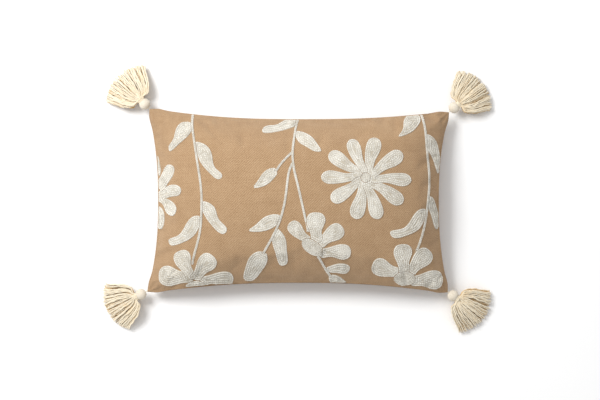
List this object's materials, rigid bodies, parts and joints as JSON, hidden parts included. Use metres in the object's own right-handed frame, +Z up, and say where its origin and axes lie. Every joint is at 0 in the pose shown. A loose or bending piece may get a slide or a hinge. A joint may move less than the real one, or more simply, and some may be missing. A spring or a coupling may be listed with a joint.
{
  "type": "throw pillow",
  "caption": "Oblong stuffed throw pillow, tan woven cover with cream crewel flowers and vines, concealed zip and a tassel at each corner.",
  "frame": {"origin": "on the floor under the middle of the pillow, which lies flat on its back", "axes": "+X along the long side to the right as seen from the front, +Y towards the top edge, +Z up out of the embroidered front"},
  "size_m": [0.6434, 0.4415, 0.1149],
  "materials": {
    "cover_cloth": "matte",
    "insert_cloth": "matte",
    "filling": "matte",
    "zip_tape": "matte",
    "zip_coil": "satin",
    "zip_metal": "satin",
    "embroidery_yarn": "matte",
    "tassel_cord": "matte",
    "tassel_ball": "matte",
    "tassel_yarn": "matte"
  },
  "bodies": {
    "pillow": {"cover_front": "cover_cloth", "cover_back": "cover_cloth", "insert_case_front": "insert_cloth", "insert_case_back": "insert_cloth", "insert_fill": "filling", "zip_tape_front": "zip_tape", "zip_tape_back": "zip_tape", "zip_coil_front": "zip_coil", "zip_coil_back": "zip_coil", "zip_stop_closed": "zip_coil", "zip_stop_open": "zip_coil", "daisy_centre": "embroidery_yarn", "daisy_petals": "embroidery_yarn", "left_vine_stem": "embroidery_yarn", "left_vine_leaves": "embroidery_yarn", "bottom_left_centre": "embroidery_yarn", "bottom_left_petals": "embroidery_yarn", "left_edge_flower": "embroidery_yarn", "centre_vine_stems": "embroidery_yarn", "centre_vine_leaves": "embroidery_yarn", "bottom_middle_centre": "embroidery_yarn", "bottom_middle_petals": "embroidery_yarn", "bottom_middle_stem": "embroidery_yarn", "bottom_middle_leaves": "embroidery_yarn", "right_vine_stem": "embroidery_yarn", "right_vine_leaves": "embroidery_yarn", "bottom_right_centre": "embroidery_yarn", "bottom_right_petals": "embroidery_yarn", "corner_cord_tl": "tassel_cord", "corner_cord_tr": "tassel_cord", "corner_cord_bl": "tassel_cord", "corner_cord_br": "tassel_cord"},
    "zip_slider": {"zip_slider": "zip_metal"},
    "zip_pull": {"zip_pull": "zip_metal"},
    "link_tl": {"knot_tl": "tassel_cord"},
    "tassel_tl": {"tassel_cord_tl": "tassel_cord", "ball_tl": "tassel_ball", "binding_tl": "tassel_cord", "skirt_tl": "tassel_yarn"},
    "link_tr": {"knot_tr": "tassel_cord"},
    "tassel_tr": {"tassel_cord_tr": "tassel_cord", "ball_tr": "tassel_ball", "binding_tr": "tassel_cord", "skirt_tr": "tassel_yarn"},
    "link_bl": {"knot_bl": "tassel_cord"},
    "tassel_bl": {"tassel_cord_bl": "tassel_cord", "ball_bl": "tassel_ball", "binding_bl": "tassel_cord", "skirt_bl": "tassel_yarn"},
    "link_br": {"knot_br": "tassel_cord"},
    "tassel_br": {"tassel_cord_br": "tassel_cord", "ball_br": "tassel_ball", "binding_br": "tassel_cord", "skirt_br": "tassel_yarn"}
  },
  "joints": [
    {"name": "zip_slide", "type": "slide", "parent": "pillow", "child": "zip_slider", "axis": [1, 0, 0], "range_m": [-0.288, 0]},
    {"name": "zip_pull_hinge", "type": "hinge", "parent": "zip_slider", "child": "zip_pull", "pos_m": [0.144, -0.1325, 0.048], "axis": [0, 0, 1], "range_deg": [-175, 0]},
    {"name": "swing_tl", "type": "hinge", "parent": "pillow", "child": "link_tl", "pos_m": [-0.24685, 0.15285, 0.023], "axis": [0, 0, 1], "range_deg": [-59, 61]},
    {"name": "lift_tl", "type": "hinge", "parent": "link_tl", "child": "tassel_tl", "pos_m": [-0.24685, 0.15285, 0.023], "axis": [0.7193, 0.6947, 0], "range_deg": [-85, 75]},
    {"name": "swing_tr", "type": "hinge", "parent": "pillow", "child": "link_tr", "pos_m": [0.24915, 0.14745, 0.023], "axis": [0, 0, 1], "range_deg": [-55, 65]},
    {"name": "lift_tr", "type": "hinge", "parent": "link_tr", "child": "tassel_tr", "pos_m": [0.24915, 0.14745, 0.023], "axis": [0.6428, -0.766, 0], "range_deg": [-85, 75]},
    {"name": "swing_bl", "type": "hinge", "parent": "pillow", "child": "link_bl", "pos_m": [-0.25105, -0.14955, 0.023], "axis": [0, 0, 1], "range_deg": [-42, 78]},
    {"name": "lift_bl", "type": "hinge", "parent": "link_bl", "child": "tassel_bl", "pos_m": [-0.25105, -0.14955, 0.023], "axis": [-0.454, 0.891, 0], "range_deg": [-85, 75]},
    {"name": "swing_br", "type": "hinge", "parent": "pillow", "child": "link_br", "pos_m": [0.24685, -0.15045, 0.023], "axis": [0, 0, 1], "range_deg": [-69, 51]},
    {"name": "lift_br", "type": "hinge", "parent": "link_br", "child": "tassel_br", "pos_m": [0.24685, -0.15045, 0.023], "axis": [-0.5878, -0.809, 0], "range_deg": [-85, 75]}
  ]
}
